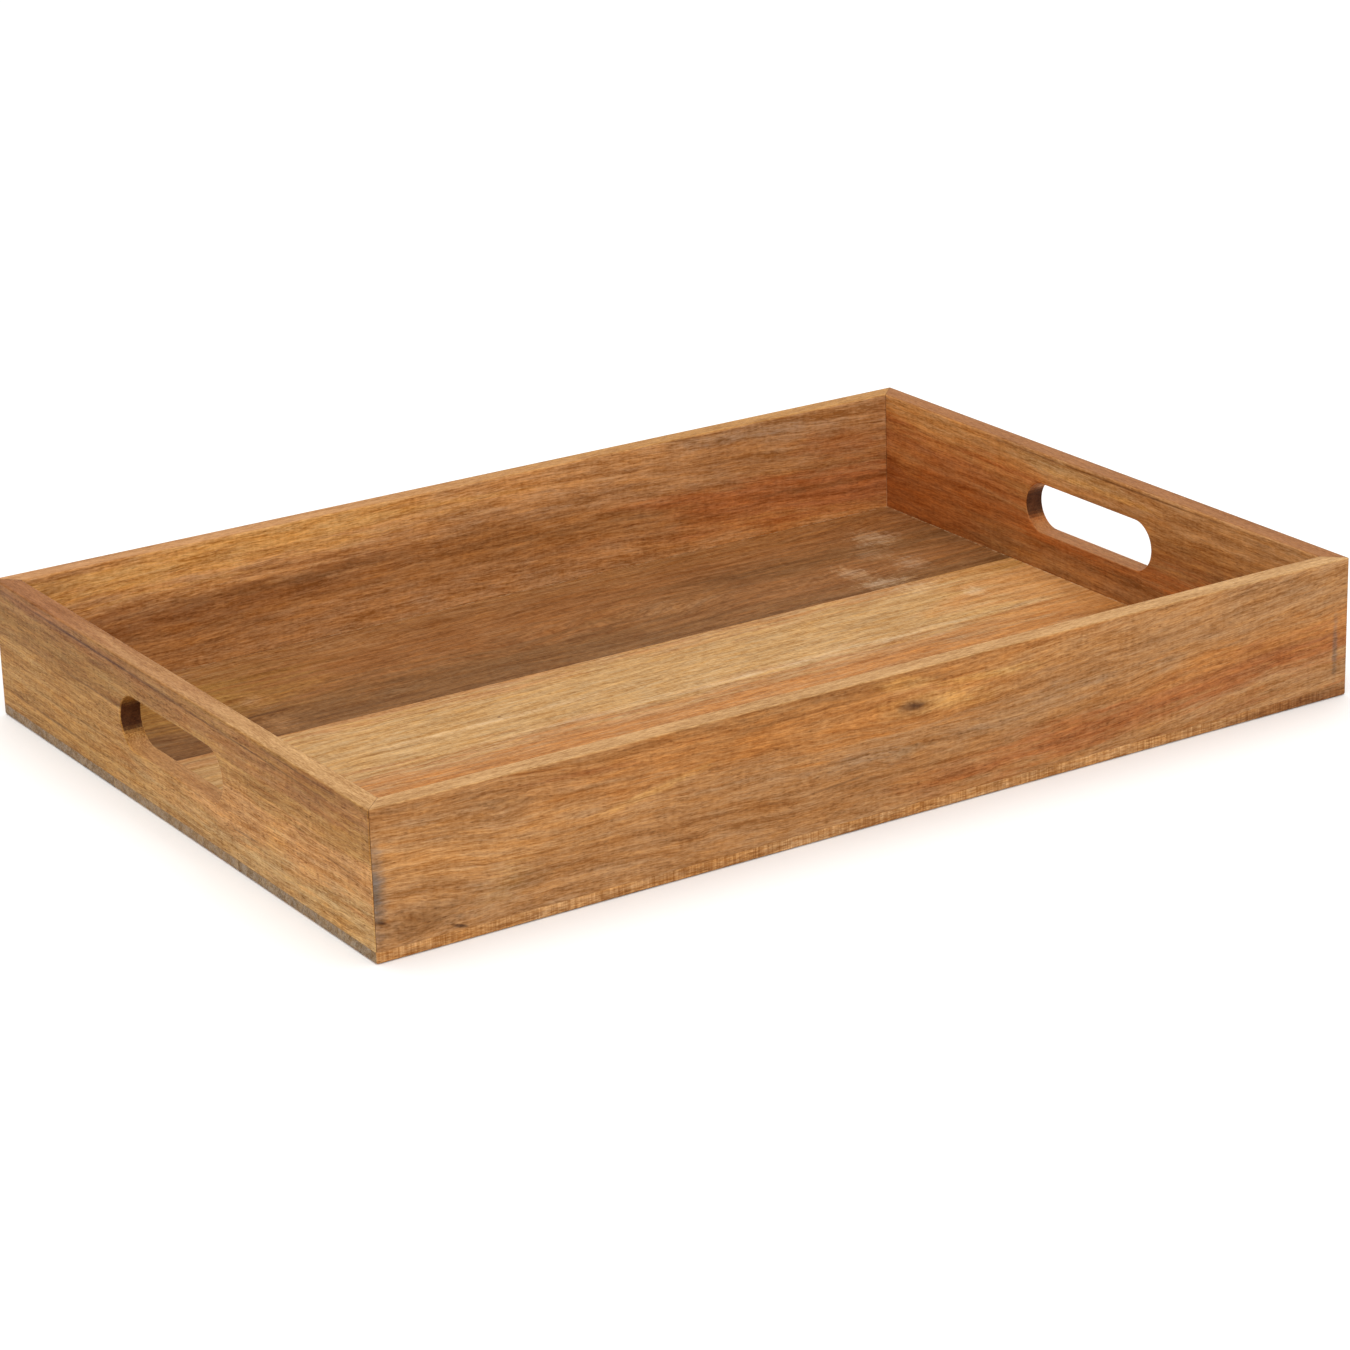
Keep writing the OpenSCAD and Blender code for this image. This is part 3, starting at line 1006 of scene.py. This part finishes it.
def end_tree(tree, placed, given, result):
    """Makes the placed copies real, gives them the steel and sends them out of the tree."""
    solid = add(tree, "GeometryNodeRealizeInstances", (placed,))
    steel = add(tree, "GeometryNodeSetMaterial", {"Geometry": solid, "Material": given.outputs["Steel"]})
    tree.links.new(steel.outputs[0], result.inputs[0])


def repeat_fixing(name, fixing_mesh, tree, values, node):
    """Runs the tree on one fixing and keeps the result as a plain mesh on the frame."""
    piece = new_object(name, fixing_mesh)
    modifier = piece.modifiers.new("places", "NODES")
    modifier.node_group = tree
    for identifier, value in values.items():
        modifier[identifier] = value
    baked(piece)
    for polygon in piece.data.polygons:
        polygon.use_smooth = True
    piece.data.set_sharp_from_angle(angle=SHARP_ANGLE)
    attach(piece, "root")
    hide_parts(node)
    return piece


class TRAY_OT_mitre_nails(bpy.types.Operator):
    """Make the steel V-nails across the four mitres, two stacked in each corner"""

    bl_idname = "tray.mitre_nails"
    bl_label = "Mitre Nails"

    def execute(self, context):
        sizes, tints = context.scene.tray_sizes, context.scene.tray_tints
        leg, gauge = sizes.nail_leg, sizes.nail_gauge
        outline = [(0, 0), (leg, 0), (leg, gauge), (gauge, gauge), (gauge, leg), (0, leg)]
        one = prism("mitre_nail", outline, 0.0, sizes.nail_height, lambda middle, direction: NAIL_EASE)
        fixing = one.data
        bpy.data.objects.remove(one)

        labels = [
            ("Across X", "NodeSocketFloat"),
            ("Across Y", "NodeSocketFloat"),
            ("Foot", "NodeSocketFloat"),
            ("Step up", "NodeSocketFloat"),
            ("Stack", "NodeSocketInt"),
            ("Steel", "NodeSocketMaterial"),
        ]
        tree, given, result, found = fixing_tree("mitre nail places", labels)
        corners = add(
            tree, "GeometryNodeMeshGrid",
            {
                "Size X": given.outputs["Across X"], "Size Y": given.outputs["Across Y"],
                "Vertices X": 2, "Vertices Y": 2,
            },
        )
        xyz = add(tree, "ShaderNodeSeparateXYZ", (add(tree, "GeometryNodeInputPosition"),))
        side_x = add(tree, "ShaderNodeMath", (xyz.outputs[0],), operation="SIGN")
        side_y = add(tree, "ShaderNodeMath", (xyz.outputs[1],), operation="SIGN")
        corner_angle = add(tree, "ShaderNodeMath", (side_y, side_x), operation="ARCTAN2")
        turned = add(tree, "ShaderNodeMath", (corner_angle, math.radians(135)), operation="ADD")
        turn = add(tree, "ShaderNodeCombineXYZ", (0.0, 0.0, turned))
        rise = add(tree, "ShaderNodeCombineXYZ", (0.0, 0.0, given.outputs["Step up"]))
        foot = add(tree, "ShaderNodeCombineXYZ", (0.0, 0.0, given.outputs["Foot"]))
        stack = add(
            tree, "GeometryNodeMeshLine",
            {"Count": given.outputs["Stack"], "Start Location": foot, "Offset": rise}, mode="OFFSET",
        )
        stacked = add(
            tree, "GeometryNodeInstanceOnPoints", {"Points": stack, "Instance": given.outputs["Geometry"]}
        )
        placed = add(
            tree, "GeometryNodeInstanceOnPoints",
            {"Points": corners.outputs["Mesh"], "Instance": stacked, "Rotation": turn},
        )
        end_tree(tree, placed, given, result)

        values = {
            found["Across X"]: LENGTH - 2 * sizes.nail_inset,
            found["Across Y"]: WIDTH - 2 * sizes.nail_inset,
            found["Foot"]: BASE,
            found["Step up"]: sizes.nail_height + NAIL_GAP,
            found["Stack"]: NAIL_STACK,
            found["Steel"]: steel_material(tints),
        }
        repeat_fixing("mitre_nails", fixing, tree, values, "mitre_nails")
        return {"FINISHED"}


class TRAY_OT_base_brads(bpy.types.Operator):
    """Make the steel brads that hold the base to the walls, heads just below the underside"""

    bl_idname = "tray.base_brads"
    bl_label = "Base Brads"

    def execute(self, context):
        sizes, tints = context.scene.tray_sizes, context.scene.tray_tints
        head, shank = sizes.brad_head, sizes.brad_shank
        tip, chamfer = sizes.brad_length, 0.00015
        profile = [
            (0, 0), (head - chamfer, 0), (head, chamfer),
            (head, BRAD_HEAD_THICKNESS), (shank, BRAD_HEAD_THICKNESS),
            (shank, tip - BRAD_POINT_LENGTH), (shank / 4, tip), (0, tip),
        ]
        fixing = lathe(profile, [(0, 0)], 20)

        labels = [
            ("Wall middle X", "NodeSocketFloat"),
            ("Wall middle Y", "NodeSocketFloat"),
            ("First X", "NodeSocketFloat"),
            ("End reach", "NodeSocketFloat"),
            ("Sink", "NodeSocketFloat"),
            ("Per long wall", "NodeSocketInt"),
            ("Steel", "NodeSocketMaterial"),
        ]
        tree, given, result, found = fixing_tree("base brad places", labels)
        rows = []
        for side in (-1.0, 1.0):
            wall_y = add(tree, "ShaderNodeMath", (given.outputs["Wall middle Y"], side), operation="MULTIPLY")
            wall_x = add(tree, "ShaderNodeMath", (given.outputs["Wall middle X"], side), operation="MULTIPLY")
            far_x = add(tree, "ShaderNodeMath", (given.outputs["First X"], -1.0), operation="MULTIPLY")
            near_y = add(tree, "ShaderNodeMath", (given.outputs["End reach"], -1.0), operation="MULTIPLY")
            ends = (
                (given.outputs["First X"], wall_y, far_x, wall_y, given.outputs["Per long wall"]),
                (wall_x, near_y, wall_x, given.outputs["End reach"], 3),
            )
            for x0, y0, x1, y1, count in ends:
                start = add(tree, "ShaderNodeCombineXYZ", (x0, y0, given.outputs["Sink"]))
                stop = add(tree, "ShaderNodeCombineXYZ", (x1, y1, given.outputs["Sink"]))
                rows.append(
                    add(
                        tree, "GeometryNodeMeshLine",
                        {"Count": count, "Start Location": start, "Offset": stop},
                        mode="END_POINTS", count_mode="TOTAL",
                    )
                )
        joined = add(tree, "GeometryNodeJoinGeometry")
        for row in rows:
            tree.links.new(row.outputs[0], joined.inputs[0])
        placed = add(
            tree, "GeometryNodeInstanceOnPoints", {"Points": joined, "Instance": given.outputs["Geometry"]}
        )
        end_tree(tree, placed, given, result)

        values = {
            found["Wall middle X"]: (LENGTH - THICK) / 2,
            found["Wall middle Y"]: (WIDTH - THICK) / 2,
            found["First X"]: -LENGTH / 2 + sizes.brad_corner_gap,
            found["End reach"]: sizes.brad_end_reach,
            found["Sink"]: sizes.brad_sink,
            found["Per long wall"]: sizes.long_brads,
            found["Steel"]: steel_material(tints),
        }
        repeat_fixing("base_brads", fixing, tree, values, "base_brads")
        return {"FINISHED"}


def steel_material(tints):
    return bpy.data.materials.get("drawn_steel") or drawn_steel(tints)


# ---------------------------------------------------------------------------
# Stage
# ---------------------------------------------------------------------------
def studio_paper(tints):
    """Matte white studio paper: even, with only the faintest tooth."""
    material, t = new_material("studio_paper")
    place = add(t, "ShaderNodeTexCoord")
    tooth = add(t, "ShaderNodeTexNoise", {"Vector": place.outputs["Object"], "Scale": 900.0, "Detail": 2.0})
    bump = add(t, "ShaderNodeBump", {"Strength": 0.05, "Distance": 0.0001, "Height": tooth})
    surface = add(
        t, "ShaderNodeBsdfPrincipled",
        {"Base Color": tuple(tints.paper), "Roughness": 0.9, "Specular IOR Level": 0.1, "Normal": bump},
    )
    add(t, "ShaderNodeOutputMaterial", {"Surface": surface})
    return material


def soft_box(name, place, target, size, power):
    """A square area light that faces a point."""
    lamp = bpy.data.lights.new(name, "AREA")
    lamp.shape = "SQUARE"
    lamp.size = size
    lamp.energy = power
    lit = new_object(name, lamp)
    lit.location = place
    lit.rotation_euler = (Vector(target) - Vector(place)).to_track_quat("-Z", "Y").to_euler()
    return lit


class TRAY_OT_stage(bpy.types.Operator):
    """Make the pale floor, the soft studio light and the camera"""

    bl_idname = "tray.stage"
    bl_label = "Stage"

    def execute(self, context):
        tints = context.scene.tray_tints
        mesh = bpy.data.meshes.new("studio_floor")
        # A hair below the tray, so that the floor and the underside don't share a plane
        reach, level = 6.0, -0.0003
        corners = [(x * reach, y * reach, level) for x, y in ((-1, -1), (1, -1), (1, 1), (-1, 1))]
        mesh.from_pydata(corners, [], [(0, 1, 2, 3)])
        mesh.materials.append(studio_paper(tints))
        new_object("studio_floor", mesh)

        world = bpy.data.worlds.new("studio")
        context.scene.world = world
        world.use_nodes = True
        t = world.node_tree
        t.nodes.clear()
        sky = add(t, "ShaderNodeBackground", {"Color": (1.0, 1.0, 1.0, 1.0), "Strength": 0.76})
        add(t, "ShaderNodeOutputWorld", {"Surface": sky})

        soft_box("key_soft_box", (-1.5, -3.1, 2.9), (0, 0, 0.03), 3.0, 100.0)
        soft_box("top_soft_box", (0.2, 0.8, 4.4), (0, 0, 0.03), 4.0, 90.0)

        # The camera stands in front of the tray and to its left, 20 degrees above the floor
        azimuth, elevation, roll = math.radians(-32.41), math.radians(20.06), math.radians(-1.713)
        target = Vector((-0.0290, -0.0544, 0.05)) * LENGTH
        distance = 3.652 * LENGTH
        level_run = math.cos(elevation)
        back = Vector((math.sin(azimuth) * level_run, -math.cos(azimuth) * level_run, math.sin(elevation)))
        right = Vector((0, 0, 1)).cross(back).normalized()
        up = back.cross(right)
        rolled_right = right * math.cos(roll) + up * math.sin(roll)
        rolled_up = up * math.cos(roll) - right * math.sin(roll)
        camera = bpy.data.cameras.new("camera")
        camera.sensor_width = 36.0
        camera.lens = 109.3
        camera.clip_start, camera.clip_end = 0.05, 50.0
        view = new_object("camera", camera)
        turn = Matrix((rolled_right, rolled_up, back)).transposed().to_4x4()
        view.matrix_world = Matrix.Translation(target + back * distance) @ turn
        context.scene.camera = view
        context.scene.view_settings.view_transform = "Standard"
        return {"FINISHED"}


OPERATORS = (
    TRAY_OT_long_walls,
    TRAY_OT_end_walls,
    TRAY_OT_base_boards,
    TRAY_OT_mitre_nails,
    TRAY_OT_base_brads,
    TRAY_OT_stage,
)


class TRAY_PT_panel(bpy.types.Panel):
    """Serving tray"""

    bl_label = "Serving Tray"
    bl_idname = "TRAY_PT_panel"
    bl_space_type = "VIEW_3D"
    bl_region_type = "UI"
    bl_category = "Tray"

    def draw(self, context):
        for operator in OPERATORS:
            self.layout.operator(operator.bl_idname)
        for group in (context.scene.tray_sizes, context.scene.tray_tints):
            column = self.layout.column()
            for key in group.__annotations__:
                column.prop(group, key)


CLASSES = (TraySizes, TrayTints, *OPERATORS, TRAY_PT_panel)


def register():
    for cls in CLASSES:
        bpy.utils.register_class(cls)
    bpy.types.Scene.tray_sizes = bpy.props.PointerProperty(type=TraySizes)
    bpy.types.Scene.tray_tints = bpy.props.PointerProperty(type=TrayTints)


def unregister():
    del bpy.types.Scene.tray_tints
    del bpy.types.Scene.tray_sizes
    for cls in reversed(CLASSES):
        bpy.utils.unregister_class(cls)


def main():
    register()
    bpy.ops.tray.long_walls()
    bpy.ops.tray.end_walls()
    bpy.ops.tray.base_boards()
    bpy.ops.tray.mitre_nails()
    bpy.ops.tray.base_brads()
    bpy.ops.tray.stage()


if __name__ == "__main__":
    main()
